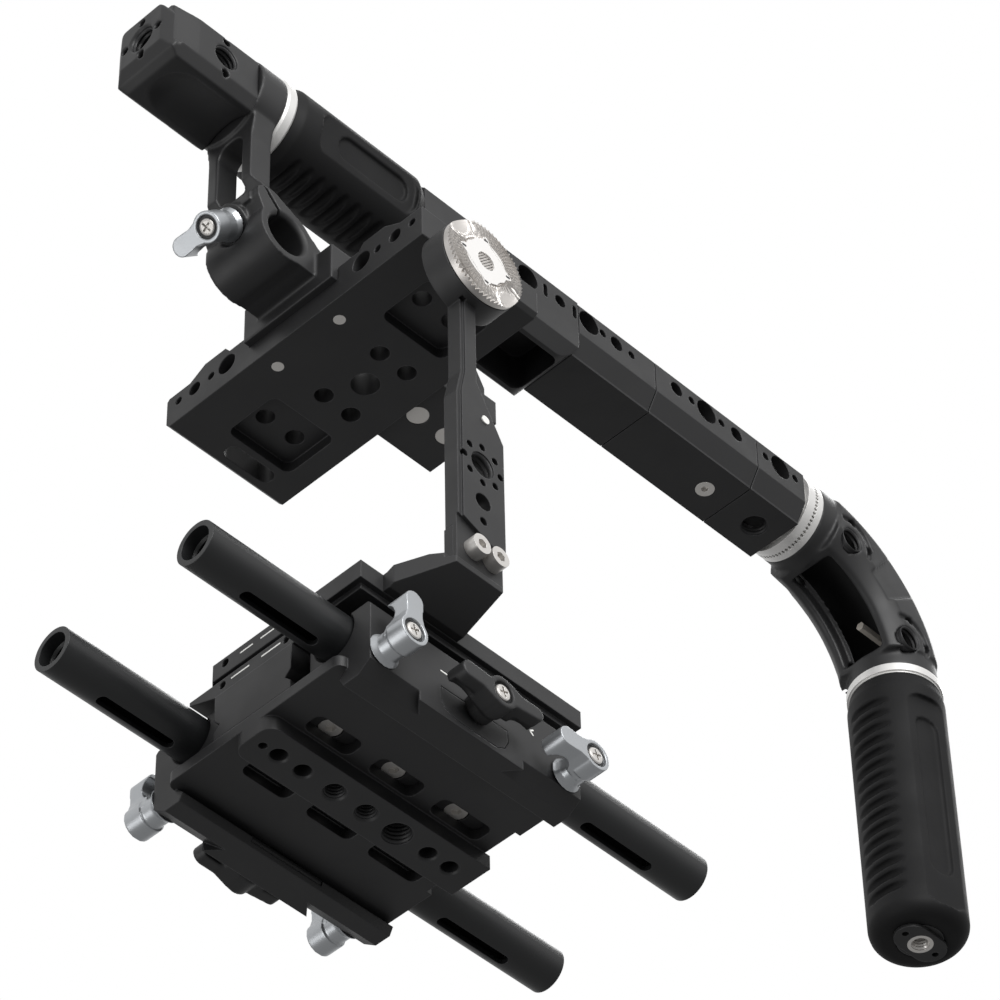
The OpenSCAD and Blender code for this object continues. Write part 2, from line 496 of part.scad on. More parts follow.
// Post with the rod clamp.
module post() { color(black) difference() {
  union() {
    box(-20, 20, arm_y - 18.6, arm_y, seat_z, seat_z + 15.5);
    xcyl(11.5, -post_hw, post_hw, py, pz);
    along_x(-post_hw, post_hw) polygon([[py, pz - 11.5], [py + 6, pz - 10.6], [arm_y - 15, pz - 10.6], [arm_y - 15, pz + 1.6],
      [py + 4.4, pz + 10.6], [col_r, pz + 15], [col_y + 1, pz + 15], [col_y + 1, pz + 9], [col_y + 4, pz + 3], [py, pz]]);
    along_x(-col_hw, col_hw) polygon([[col_y, pz + 8], [col_r, pz + 8], [col_r + 1.6, pz + 15], [col_r, pz + 20], [col_r, hz], [col_y, hz]]);
    along_y(col_y, col_r) polygon([[-post_hw, pz + 14.9], [post_hw, pz + 14.9], [col_hw, pz + 20], [-col_hw, pz + 20]]);
    along_y(col_y, col_r) polygon([[-col_hw, hz - 22], [col_hw, hz - 22], [11.5, hz - 11.8], [-11.5, hz - 11.8]]);
    ycyl(16.5, coll_y, ring_y, 0, hz);
    translate(p0) rotate([tilt, 0, 0]) translate([0, 0, -12]) cylinder(r = 6.8, h = 12);
  }
  xcyl(post_bore / 2, -post_hw - 1, post_hw + 1, py, pz);
  both() xcone(post_bore / 2, post_bore / 2 + 1.2, post_hw - 1.2, post_hw + e, py, pz);
  along_y(py - 25, py) union() { translate([0, pz]) rrect(-win_hw, win_hw, 22, 43.8, 4.6);
    translate([0, pz]) rrect(-win_hw, win_hw, 17.4, 30, 1.6); }
  translate(p0) rotate([tilt, 0, 0]) cylinder(r = 6.9, h = 20);
  ycyl(core_r, coll_y - 1, ring_y + 1, 0, hz);
  translate([0, py, pz]) rotate([tilt - 90, 0, 0]) { box(-post_hw - 1, post_hw + 1, 1.9, 3.1, 0, 30);
    box(-post_hw - 2, post_hw + 2, -9, 2.5, 18.4, 29); }
  translate(p0) rotate([tilt, 0, 0]) translate([0, 0, -15]) cylinder(r = stud_r + run_gap, h = 16);
  for (x = [-14, 14]) { zcyl(2, seat_z - 1, seat_z + 30, x, arm_y - 9);
    zcyl(3.6, seat_z + 11.5, seat_z + 30, x, arm_y - 9); }
} }
module post_screws() { color(steel) for (x = [-14, 14]) difference() {
  union() { zcyl(3.5, seat_z + 11.5, seat_z + 15.3, x, arm_y - 9); zcyl(2, top_z, seat_z + 11.6, x, arm_y - 9); }
  translate([x, arm_y - 9, seat_z + 13.2]) cylinder(r = 1.75, h = 3, $fn = 6); } }
module at_post() { translate(p0) rotate([tilt, 0, 0]) rotate([0, 0, 180]) children(); }
module lever_post() { color(silver) at_post() lever_body(); }
module stud_post() { color(steel) at_post() lever_stud(14.5); }

// Handle.
module handle_block() { color(black) difference() {
  intersection() {
    along_y(-block_front, coll_y) polygon([[-block_hw + 3, hz - 14.4], [block_hw - 3, hz - 14.4], [block_hw, hz - 10],
      [block_hw, hz + 7.6], [block_hw - 4.6, hz + 11.4], [-block_hw + 4.6, hz + 11.4], [-block_hw, hz + 7.6],
      [-block_hw, hz - 10]]);
    along_z(hz - 30, hz + 30) polygon([[-9.4, -block_front], [9.4, -block_front], [block_hw - 0.9, -block_front + 3],
      [block_hw - 0.9, -block_front + 4.2], [block_hw, -block_front + 5], [block_hw, coll_y + 1], [-block_hw, coll_y + 1],
      [-block_hw, -block_front + 5], [-block_hw + 0.9, -block_front + 4.2], [-block_hw + 0.9, -block_front + 3]]);
    along_x(-30, 30) polygon([[-block_front, hz - 8.6], [-block_front, hz + 10.2], [-block_front + 3, hz + 12], [coll_y + 1, hz + 12],
      [coll_y + 1, hz - 15], [-block_front + 6.5, hz - 15], [-block_front + 2.2, hz - 12.4]]);
  }
  ycyl(16, scoop_y, coll_y + 1, 0, hz - 27.4);
  both() along_z(hz - 8.6, hz + 20) polygon([[block_hw + 1, -block_front + 4.2], [block_hw - 2.4, -block_front + 4.7],
    [block_hw + 0.2, -block_front + 13]]);
  translate([0, scoop_y, hz - 27.4]) sphere(r = 16);
  ycyl(big_r, -block_front - 1, -block_front + 13, 0, hz);
  ycone(big_r + 0.8, big_r, -block_front - e, -block_front + 0.8, 0, hz);
  for (a = [0 : 90 : 270]) ycyl(1.55, -block_front - 1, -block_front + 5, 7.7 * cos(a), hz + 7.7 * sin(a));
  xcyl(big_r, -block_hw - 1, block_hw + 1, -block_front + 24, hz - 1.5);
  both() for (s = [-1, 1]) xcyl(1.55, block_hw - 5, block_hw + 1, -block_front + 24, hz - 1.5 + s * 7.6);
  ycyl(core_r, coll_y - 7.5, coll_y + 1, 0, hz);
} }
module handle_ring() { color(silver) difference() {
  union() { ycyl(16.3, ring_y, grip_y, 0, hz); ycone(16.3, 16.9, ring_y, ring_y + 0.8, 0, hz);
    ycyl(16.9, ring_y + 0.8, grip_y - 0.8, 0, hz); ycone(16.9, 16.3, grip_y - 0.8, grip_y, 0, hz); }
  ycyl(core_r, ring_y - 1, grip_y + 1, 0, hz); } }
module handle_core() { color(grey) difference() {
  ycyl(core_r, coll_y - 7.5, body_y + 6, 0, hz); ycyl(core_r - 3, coll_y - 9, body_y + 8, 0, hz); } }
module top_grip() { color(rubber) difference() {
  union() { ycone(16.2, grip_d / 2, grip_y, grip_y + 3.5, 0, hz);
    ycyl(grip_d / 2, grip_y + 3.5, body_y - 4, 0, hz); ycone(grip_d / 2, 15.4, body_y - 4, body_y, 0, hz); }
  ycyl(core_r, grip_y - 1, body_y + 1, 0, hz);
  for (i = [0 : 8]) xcyl(1.7, -20, 20, grip_y + 9 + i * 5.3, hz - grip_d / 2 + 0.6);
  both() translate([0, 0, hz]) rotate([0, 12, 0]) {
    along_x(grip_d / 2 - 1.9, grip_d / 2 + 2) rrect(grip_y + 11, body_y - 4.5, -10, 10, 8);
    along_x(grip_d / 2 - 3.1, grip_d / 2) rrect(grip_y + 20, body_y - 8, -4.8, 4.8, 4.5);
  }
} }
module leg_at() { for (y = [9.5, 22.5]) translate([0, y, 0]) children(); }
module handle_body() { color(black) difference() {
  union() {
    along_y(body_y, body_rear) polygon([[-11.6, hz - 21.5], [11.6, hz - 21.5], [beam_hw, hz - 16], [beam_hw, hz + 6.8],
      [10.8, hz + 11.3], [-10.8, hz + 11.3], [-beam_hw, hz + 6.8], [-beam_hw, hz - 16]]);
    along_x(-11, 11) polygon([[leg_y, top_z + top_t], [29, top_z + top_t], [29, top_z + top_t + 9], [25, top_z + top_t + 16],
      [25, hz - 30], [31, hz - 20], [-1, hz - 20], [leg_y + 2, hz - 30], [leg_y + 2, top_z + top_t + 16],
      [leg_y, top_z + top_t + 9]]);
  }
  ycyl(core_r, body_y - 1, body_y + 6, 0, hz);
  along_x(-7, 7) polygon([[9.4, top_z + top_t + 16], [20.6, top_z + top_t + 16], [20.6, hz - 26], [9.4, hz - 26]]);
  both() along_x(6, 30) polygon([[9.4, top_z + top_t + 18], [20.6, top_z + top_t + 18], [20.6, hz - 28], [9.4, hz - 28]]);
  along_z(hz - 40, hz - 5) rrect(-10, 10, body_y + 33, body_rear - 4, 4);
  difference() { box(-30, 30, body_rear - 8, body_rear + 1, hz - 23, hz - 13.5); xcyl(8, -31, 31, body_rear - 8, hz - 13.5); }
  along_x(-30, 30) polygon([[body_rear - 6, hz + 12], [body_rear - 5, hz + 8], [body_rear + 1, hz + 8],
    [body_rear + 1, hz + 12]]);
  xcyl(big_r, -30, 30, body_rear - 24.3, hz + 1);
  both() for (y = [15.7, 1.6]) along_x(beam_hw - 4, 30) rrect(body_rear - y - 1, body_rear - y + 1, hz - 2, hz + 4, 0.9);
  both() xcyl(2.5, beam_hw - 9, 30, body_rear - 8.6, hz + 1);
  ycyl(3, body_rear - 5, body_rear + 1, 0, hz);
  leg_at() zcyl(2, top_z, top_z + top_t + 12, 0, 0);
} }
module leg_screws() { color(steel) leg_at() { zcyl(3.7, top_z + 3.2, top_z + 7, 0, 0);
  zcyl(2, top_z + 6.9, top_z + top_t + 11, 0, 0); } }

// Beam of three lengths; its lower edges have a small step.
module beam_shape(g) { a = beam_hw - g; b = beam_hh - g;
  polygon([[-a * 0.73, -b], [a * 0.73, -b], [a * 0.73, -b * 0.94], [a, -b * 0.46], [a, b * 0.46], [a * 0.73, b * 0.89],
    [a * 0.55, b], [-a * 0.55, b], [-a * 0.73, b * 0.89], [-a, b * 0.46], [-a, -b * 0.46], [-a * 0.73, -b * 0.94]]); }
module beam_solid(i) { y0 = beam_cuts[i]; y1 = beam_cuts[i + 1]; difference() {
  translate([0, 0, hz - 0.8]) { along_y(y0 + 0.5, y1) beam_shape(0); along_y(y0, y0 + 0.6) beam_shape(0.7); }
  ycyl(10.8, y0 + 5, y1 - 5, 0, hz - 0.8);
  ycyl(3, y0 - 1, y1 + 1, 0, hz);
} }
module side_hole(r, y) { both() xcyl(r, beam_hw - 6, beam_hw + 1, y, hz + 1); }
module beam_1() { color(black) difference() { beam_solid(0); y = beam_cuts[0];
  side_hole(big_r, y + 5.4); side_hole(1.6, y + 12.2); side_hole(2.9, y + 19); side_hole(1.6, y + 26.4);
  box(-30, 30, y + 29, y + 37, hz + beam_hh - 2.2, hz + 30); } }
module beam_2() { color(black) difference() { beam_solid(1); y = beam_cuts[1];
  side_hole(2.9, y + 10.9); side_hole(1.6, y + 18.5); side_hole(big_r, y + 26.1); side_hole(1.6, y + 33.7);
  side_hole(2.9, y + 41.4);
  zcyl(2, hz - 30, hz - 5, 0, y + 40.6); zcone(3.5, 2, hz - 0.8 - beam_hh - e, hz + 0.9 - beam_hh, 0, y + 40.6); } }
module beam_3() { color(black) difference() { beam_solid(2); y = beam_cuts[2];
  side_hole(1.6, y + 4.8); side_hole(big_r, y + 12.4); side_hole(1.6, y + 20.1);
  zcyl(big_r, hz - 30, hz - 5, 0, y + 14.3); } }
module beam_tie() { color(steel) ycyl(3, body_rear - 4.8, beam_rear - 0.2, 0, hz); }
module beam_screw() { color(steel) difference() {
  union() { zcone(3.4, 2, hz - 0.8 - beam_hh, hz + 0.8 - beam_hh, 0, beam_cuts[1] + 40.6);
    zcyl(2, hz + 0.7 - beam_hh, hz - 9.5, 0, beam_cuts[1] + 40.6); }
  translate([0, beam_cuts[1] + 40.6, hz - 2 - beam_hh]) cylinder(r = 1.4, h = 2.6, $fn = 6); } }

// Swivel rings with a notched seam, pivot pin.
module notches(y, d) { for (i = [0 : swivel_teeth - 1]) translate([0, y, hz]) rotate([0, i * 360 / swivel_teeth, 0])
  box(swivel_d / 2 - 1.4, swivel_d / 2 + 1, -d, d, -0.37, 0.37); }
module swivel_fixed() { color(silver) difference() {
  union() { ycyl(13.2, beam_rear, beam_rear + 2.2, 0, hz); ycyl(swivel_d / 2, beam_rear + 2.1, sw_y, 0, hz); }
  ycyl(piv_r, beam_rear - 1, sw_y + 1, 0, hz); notches(sw_y, 0.55); } }
module swivel_turn() { color(silver) difference() {
  ycyl(swivel_d / 2, sw_y + slide_gap, el_y, 0, hz);
  ycyl(piv_r + run_gap, sw_y - 1, el_y + 1, 0, hz); notches(sw_y + slide_gap, 0.55); } }
module swivel_pin() { color(steel) union() { ycyl(piv_r, beam_rear, el_y + 5.4, 0, hz);
  ycyl(8, el_y + 5.3, el_y + 8.6, 0, hz); } }

// Elbow, drawn round its bend centre and then placed.
module bend() { translate([0, el_y, el_z]) rotate([90, 0, 90]) children(); }
module key_bar() { translate([bend_r - 15.8, key_v, 0]) rotate([0, 90, 0]) cylinder(r = 1.75, h = 25.4, $fn = 6); }
key_v = 22.8;
pads = [14.6, 70.8];
pad_r = bend_r - 7.4;
pad_hw = 16.4;
module pad(a) { translate([pad_r * cos(a), pad_r * sin(a), 0]) children(); }
// Flat-sided middle of the elbow, wider than its round necks.
module elbow_section() { intersection() {
  translate([bend_r - 1.5, 0]) circle(elbow_d / 2 + 1.7);
  translate([bend_r - 15, -pad_hw]) square([40, 2 * pad_hw]); } }
// One pad: threaded through the right wall, M8 through the left, ring groove and two pin holes.
module pad_cuts() {
  translate([0, 0, pad_hw - 8.4]) cylinder(r = big_r, h = 12);
  translate([0, 0, -pad_hw - 3.6]) cylinder(r = 4, h = 12);
  for (m = [0, 1]) mirror([0, 0, m]) {
    for (b = [8, 82]) rotate([0, 0, b]) translate([9, 0, pad_hw - 3]) cylinder(r = 1.7, h = 6);
    rotate([0, 0, -28]) rotate_extrude(angle = 146) translate([7.9, pad_hw - 1.3]) square([2.2, 4]);
  }
}
module elbow() { color(black) difference() {
  bend() union() {
    rotate_extrude(angle = 12) translate([bend_r, 0]) circle(elbow_d / 2);
    rotate([0, 0, 78]) rotate_extrude(angle = 12) translate([bend_r, 0]) circle(elbow_d / 2);
    rotate([0, 0, 9]) rotate_extrude(angle = 72) elbow_section();
  }
  bend() for (m = [0, 1]) mirror([0, 0, m]) rotate([0, 0, 36]) rotate_extrude(angle = 17)
    translate([bend_r - 18, pad_hw - 1.2]) square([40, 4]);
  bend() rotate([0, 0, 5]) rotate_extrude(angle = 79) translate([bend_r, 0]) circle(elbow_d / 2 - 4);
  ycyl(8.7, el_y + 5, el_y + 10, 0, hz);
  bend() rotate([0, 0, 13]) rotate_extrude(angle = 62) translate([bend_r - 24, -8.6]) square([14, 17.2]);
  bend() for (a = pads) pad(a) pad_cuts();
  bend() key_bar();
  ycyl(piv_r + run_gap, el_y - 1, el_y + 6, 0, hz);
  zcyl(2.6, el_z - 1, el_z + 5, 0, gy);
} }
module hex_key() { color(steel) bend() key_bar(); }
module lower_ring() { color(silver) difference() {
  union() { zcyl(16.3, lr_z, el_z, 0, gy); zcyl(16.9, lr_z + 0.7, el_z - 0.7, 0, gy); }
  zcyl(8, lr_z - 1, el_z + 1, 0, gy); } }
module grip_core() { color(grey) difference() {
  zcyl(8, gr_z + 1.4, el_z, 0, gy); zcyl(4.4, gr_z, el_z - 6, 0, gy); zcyl(2.6, el_z - 7, el_z + 1, 0, gy); } }
module rear_grip() { r = rear_d / 2; color(rubber) difference() {
  translate([0, gy, 0]) union() {
    translate([0, 0, gr_z + 7]) cylinder(r = r, h = rear_len - 12);
    translate([0, 0, gr_z + rear_len - 5.1]) cylinder(r1 = r, r2 = 16.2, h = 5.1);
    translate([0, 0, gr_z + 1.4]) cylinder(r = r - 5.6, h = 6);
    translate([0, 0, gr_z + 7]) rotate_extrude() translate([r - 5.6, 0]) circle(5.6);
  }
  zcyl(8, gr_z, lr_z + 1, 0, gy);
  for (i = [0 : rear_ribs - 1]) xcyl(1.7, -20, 20, gy - r + 0.6, gr_z + 13 + i * (rear_len - 26) / (rear_ribs - 1));
  translate([0, gy, 0]) both() rotate([0, 0, -12]) {
    along_x(r - 1.9, r + 2) rrect(-10, 10, gr_z + 5, lr_z - 10, 8);
    along_x(r - 3.1, r) rrect(-4.8, 4.8, gr_z + 20, lr_z - 19, 4.5);
  }
} }
module end_plate() { color(black) difference() {
  along_z(gr_z, gr_z + 1.4) translate([0, gy]) { square([12, 9], center = true);
    for (s = [-1, 1]) translate([0, s * 4.5]) circle(6); }
  zcyl(4.4, gr_z - 1, gr_z + 2, 0, gy);
  for (s = [-1, 1]) zcyl(1.2, gr_z - 1, gr_z + 2, 0, gy + s * 7.6); } }
module end_insert() { color(steel) difference() {
  zcyl(4.4, gr_z, gr_z + 14, 0, gy); zcyl(quarter_r, gr_z - 1, gr_z + 15, 0, gy); } }

base();
cover_l();
cover_r();
keel();
block_screws();
jaw_l();
jaw_r();
wing_l();
wing_r();
wing_stud_l();
wing_stud_r();
lever_fl();
lever_fr();
lever_rl();
lever_rr();
stud_fl();
stud_fr();
stud_rl();
stud_rr();
rod_l();
rod_r();
dovetail_plate();
cage_plate();
camera_screws();
side_bracket();
foot_screws();
side_arm();
arm_screws();
arm_pin();
rosette();
rosette_insert();
top_plate();
post();
post_screws();
lever_post();
stud_post();
handle_block();
handle_ring();
handle_core();
top_grip();
handle_body();
leg_screws();
beam_1();
beam_2();
beam_3();
beam_tie();
beam_screw();
swivel_fixed();
swivel_turn();
swivel_pin();
elbow();
hex_key();
lower_ring();
grip_core();
rear_grip();
end_plate();
end_insert();
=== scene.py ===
import json
import math

import bmesh
import bpy
from mathutils import Matrix, Vector


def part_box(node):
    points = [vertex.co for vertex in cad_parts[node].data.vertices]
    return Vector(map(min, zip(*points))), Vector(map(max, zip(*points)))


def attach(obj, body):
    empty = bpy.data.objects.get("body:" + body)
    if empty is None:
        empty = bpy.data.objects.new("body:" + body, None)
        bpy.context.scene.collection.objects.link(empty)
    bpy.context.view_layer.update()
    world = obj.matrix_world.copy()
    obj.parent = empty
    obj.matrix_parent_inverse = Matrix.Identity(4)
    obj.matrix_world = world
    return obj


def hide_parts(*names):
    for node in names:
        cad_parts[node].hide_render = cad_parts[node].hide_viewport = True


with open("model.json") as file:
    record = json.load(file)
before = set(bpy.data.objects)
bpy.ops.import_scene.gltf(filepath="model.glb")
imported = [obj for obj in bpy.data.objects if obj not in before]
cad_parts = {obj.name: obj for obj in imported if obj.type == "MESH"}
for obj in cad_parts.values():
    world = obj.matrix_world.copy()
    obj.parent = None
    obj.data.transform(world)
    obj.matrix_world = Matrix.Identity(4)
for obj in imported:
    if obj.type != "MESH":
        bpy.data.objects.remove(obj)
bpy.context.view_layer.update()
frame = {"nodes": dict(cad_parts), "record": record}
nodes = frame["nodes"]
print("frame loaded:", len(nodes), "nodes")

mm = 0.001


# camera: low in front, looking up at the underside
cameraSet = {"lens": 170.22, "sensor": 36.0, "place": (0.73287, -0.72380, -0.91978),
             "azimuth": 43.564, "elevation": -45.788, "roll": -1.329, "near": 0.05, "far": 20.0}


def placeCamera(s):
    data = bpy.data.cameras.new("photoCamera")
    data.lens, data.sensor_width = s["lens"], s["sensor"]
    data.clip_start, data.clip_end = s["near"], s["far"]
    cam = bpy.data.objects.new("photoCamera", data)
    bpy.context.scene.collection.objects.link(cam)
    az, el, roll = (math.radians(s[k]) for k in ("azimuth", "elevation", "roll"))
    back = Vector((math.sin(az) * math.cos(el), -math.cos(az) * math.cos(el), math.sin(el)))
    right = Vector((math.cos(az), math.sin(az), 0))
    up = back.cross(right)
    across = right * math.cos(roll) + up * math.sin(roll)
    upward = up * math.cos(roll) - right * math.sin(roll)
    turn = Matrix((across, upward, back)).transposed().to_4x4()
    cam.matrix_world = Matrix.Translation(s["place"]) @ turn
    bpy.context.scene.camera = cam


placeCamera(cameraSet)
bpy.context.scene.view_settings.view_transform = "Standard"
print("camera placed")


def linear(hexText):
    parts = [int(hexText[i:i + 2], 16) / 255 for i in (1, 3, 5)]
    return tuple(c / 12.92 if c <= 0.04045 else ((c + 0.055) / 1.055) ** 2.4 for c in parts) + (1.0,)


def addNode(tree, kind, settings=None, links=None):
    made = tree.nodes.new(kind)
    for key, value in (settings or {}).items():
        if isinstance(key, str) and hasattr(made, key):
            setattr(made, key, value)
        else:
            made.inputs[key].default_value = value
    for key, source in (links or {}).items():
        tree.links.new(source, made.inputs[key])
    return made


# finishes: base colour, colour of the painted edge highlight, metallic, roughness, grain size and depth in mm
finishes = {
    # dyed and bead-blasted aluminium: even dark grey, soft wide shine, paler edges painted on as a highlight
    "anodisedAluminium": {"colour": "#19191a", "fleck": "#1f1f20", "edge": "#303032", "metallic": 0.0,
                          "rough": (0.46, 0.56), "grain": 0.35, "depth": 0.006, "edgeMm": 0.6},
    # the same dye on a turned tube: a little smoother
    "anodisedTube": {"colour": "#151617", "fleck": "#1a1b1c", "edge": "#36373a", "metallic": 0.0,
                     "rough": (0.38, 0.46), "grain": 0.3, "depth": 0.004, "edgeMm": 0.3},
    # moulded rubber: nearly black, dull, fine stipple
    "mouldedRubber": {"colour": "#0c0c0d", "fleck": "#111112", "edge": None, "metallic": 0.0,
                      "rough": (0.60, 0.70), "grain": 0.5, "depth": 0.02, "edgeMm": 0.0, "specular": 0.25},
    # satin clear-anodised aluminium of the levers: cool pale grey, blurred shine
    "satinAluminium": {"colour": "#bcbfc2", "fleck": "#b0b3b6", "edge": None, "metallic": 0.85,
                       "rough": (0.32, 0.40), "grain": 0.3, "depth": 0.004, "edgeMm": 0.0},
    # turned bright aluminium rings: pale, with a fine grain
    "turnedAluminium": {"colour": "#e6e5e3", "fleck": "#dad9d7", "edge": "#f6f5f3", "metallic": 0.55,
                        "rough": (0.38, 0.46), "grain": 0.25, "depth": 0.002, "edgeMm": 0.15},
    # nickel-plated steel screws: warm and bright
    "platedSteel": {"colour": "#dad7d3", "fleck": "#cac7c3", "edge": "#f2f0ed", "metallic": 0.65,
                    "rough": (0.28, 0.38), "grain": 0.25, "depth": 0.003, "edgeMm": 0.12},
    # stainless rosette: bright satin, crisp machined teeth
    "stainlessSteel": {"colour": "#d6d2ce", "fleck": "#c8c4c0", "edge": None, "metallic": 0.75,
                       "rough": (0.36, 0.44), "grain": 0.3, "depth": 0.002, "edgeMm": 0.0},
    # polished stainless plate in the rosette: almost white in a white room
    "polishedSteel": {"colour": "#efedeb", "fleck": "#e6e4e2", "edge": None, "metallic": 0.4,
                      "rough": (0.34, 0.40), "grain": 0.3, "depth": 0.001, "edgeMm": 0.0},
    # tool steel of the stored key: warm grey
    "toolSteel": {"colour": "#e4ddd3", "fleck": "#d2cbc0", "edge": "#f0eae2", "metallic": 0.3,
                  "rough": (0.34, 0.46), "grain": 0.3, "depth": 0.005, "edgeMm": 0.2},
    # white nylon pin and the printed index lines
    "whiteNylon": {"colour": "#e6e6e2", "fleck": "#dadad6", "edge": "#f4f4f2", "metallic": 0.0,
                   "rough": (0.45, 0.55), "grain": 0.4, "depth": 0.003, "edgeMm": 0.1},
}


# shared by all finishes: cloud size in metres, the tones of it that give least and most roughness,
# and where the painted edge highlight begins and is full
shadeSet = {"cloud": 0.018, "cloudLow": 0.35, "cloudHigh": 0.65, "paintedHighlightFrom": 0.995, "paintedHighlightFull": 0.80,
            "edgeSamples": 6}


def makeFinish(name, f):
    mat = bpy.data.materials.new(name)
    mat.use_nodes = True
    tree = mat.node_tree
    tree.nodes.clear()
    place = addNode(tree, "ShaderNodeTexCoord").outputs["Object"]
    cells = 1 / (f["grain"] * mm)
    grain = addNode(tree, "ShaderNodeTexNoise", {"Scale": cells, "Detail": 2.0}, {"Vector": place})
    cloud = addNode(tree, "ShaderNodeTexNoise", {"Scale": 1 / shadeSet["cloud"], "Detail": 3.0},
                    {"Vector": place})
    speck = addNode(tree, "ShaderNodeMix",
                    {"data_type": "RGBA", 6: linear(f["colour"]), 7: linear(f["fleck"])},
                    {0: grain.outputs[0]})
    colour, normal = speck.outputs[2], None
    if f["edgeMm"] > 0:
        # painted highlight on edges: paler where the rounded normal leaves the flat one
        normal = addNode(tree, "ShaderNodeBevel",
                         {"samples": shadeSet["edgeSamples"], "Radius": f["edgeMm"] * mm}).outputs[0]
        flat = addNode(tree, "ShaderNodeNewGeometry")
        meet = addNode(tree, "ShaderNodeVectorMath", {"operation": "DOT_PRODUCT"},
                       {0: normal, 1: flat.outputs["True Normal"]})
        edge = addNode(tree, "ShaderNodeMapRange",
                       {"From Min": shadeSet["paintedHighlightFrom"], "From Max": shadeSet["paintedHighlightFull"],
                        "To Min": 0.0, "To Max": 1.0},
                       {"Value": meet.outputs["Value"]})
        colour = addNode(tree, "ShaderNodeMix", {"data_type": "RGBA", 7: linear(f["edge"])},
                         {0: edge.outputs[0], 6: colour}).outputs[2]
    rough = addNode(tree, "ShaderNodeMapRange",
                    {"From Min": shadeSet["cloudLow"], "From Max": shadeSet["cloudHigh"],
                     "To Min": f["rough"][0], "To Max": f["rough"][1]}, {"Value": cloud.outputs[0]})
    bump = addNode(tree, "ShaderNodeBump", {"Strength": 1.0, "Distance": f["depth"] * mm},
                   {"Height": grain.outputs[0], **({"Normal": normal} if normal else {})})
    shader = addNode(tree, "ShaderNodeBsdfPrincipled",
                     {"Metallic": f["metallic"], "Specular IOR Level": f.get("specular", 0.5)},
                     {"Base Color": colour, "Roughness": rough.outputs[0], "Normal": bump.outputs[0]})
    addNode(tree, "ShaderNodeOutputMaterial", None, {"Surface": shader.outputs[0]})
    return mat


materials = {name: makeFinish(name, f) for name, f in finishes.items()}

# record slot to finish
slotFinish = {"anodised_black": "anodisedAluminium", "cover_black": "anodisedAluminium",
              "wing_black": "anodisedAluminium", "rubber_grip": "mouldedRubber", "rod_black": "anodisedTube",
              "lever_silver": "satinAluminium", "ring_bright": "turnedAluminium", "steel": "platedSteel",
              "key_steel": "toolSteel", "rosette_steel": "stainlessSteel", "pin_white": "whiteNylon"}
nodeSlot = {s["node"]: s["material_slot"] for s in frame["record"]["subparts"]}
for name, node in nodes.items():
    node.data.materials.clear()
    node.data.materials.append(materials[slotFinish[nodeSlot[name]]])
print("finishes:", len(materials))


# points closer than this, in metres, are one point: in made pieces, and in copies of the solids
weldSet = {"made": 1e-7, "solid": 1e-6}


def finishMesh(name, bm, body, finish, slot):
    bmesh.ops.remove_doubles(bm, verts=bm.verts, dist=weldSet["made"])
    bmesh.ops.recalc_face_normals(bm, faces=bm.faces)
    mesh = bpy.data.meshes.new(name)
    bm.to_mesh(mesh)
    bm.free()
    obj = bpy.data.objects.new(name, mesh)
    bpy.context.scene.collection.objects.link(obj)
    mesh.materials.append(materials[finish])
    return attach(obj, body)


# moulded, cast and hand-finished parts: the solid's own form with its edges rounded off
# voxel size in mm, smoothing passes, and the side faces from x in mm outwards that stay crisp
nodeBody = {n: body for body, names in frame["record"]["behaviour"]["bodies"].items() for n in names}
roundSet = {"elbow": (0.5, 20, 14.2), "handle_block": (0.4, 6, None), "post": (0.5, 5, None),
            "top_grip": (0.5, 2, None), "rear_grip": (0.55, 2, None), "wing_l": (0.35, 7, None),
            "wing_r": (0.35, 7, None), "lever_fl": (0.25, 5, None), "lever_fr": (0.25, 5, None),
            "lever_rl": (0.25, 5, None), "lever_rr": (0.25, 5, None), "lever_post": (0.25, 5, None)}
# share of each smoothing pass, least share on the crisp faces, width in mm over which it fades
smoothSet = {"factor": 0.5, "least": 0.06, "fade": 1.5}


# front block: flared flats behind the nose, and the nose rounded over its hole
# cutting boxes as centre and size in mm, turn in degrees, axis
noseSet = {"height": 268.5, "middle": -113.8, "radius": 13.0, "turns": (33, 51, 70, 110, 129, 147),
           "box": (8.0, 5.0, 16.0)}
cutSet = {"handle_block": [((14.88, -107.6, 275.0), (4.0, 9.4, 32.0), -20.0, "Z"),
                           ((-14.88, -107.6, 275.0), (4.0, 9.4, 32.0), 20.0, "Z")]}
for turn in noseSet["turns"]:
    reach, a = noseSet["radius"] + noseSet["box"][0] / 2, math.radians(turn)
    centre = (reach * math.cos(a), noseSet["middle"], noseSet["height"] + reach * math.sin(a))
    cutSet["handle_block"].append((centre, noseSet["box"], -turn, "Y"))


def boxTool(place):
    bm = bmesh.new()
    bmesh.ops.create_cube(bm, size=1.0, matrix=place)
    mesh = bpy.data.meshes.new("boxTool")
    bm.to_mesh(mesh)
    bm.free()
    tool = bpy.data.objects.new("boxTool", mesh)
    bpy.context.scene.collection.objects.link(tool)
    return tool


def cutAway(obj, place, name):
    tool = boxTool(place)
    cut = obj.modifiers.new("cut", "BOOLEAN")
    cut.operation, cut.solver, cut.object = "DIFFERENCE", "EXACT", tool
    applied(obj, name)
    bpy.data.objects.remove(tool)


def applied(obj, name):
    made = bpy.data.meshes.new_from_object(obj.evaluated_get(bpy.context.evaluated_depsgraph_get()))
    made.name = name
    obj.modifiers.clear()
    obj.data = made
    return made


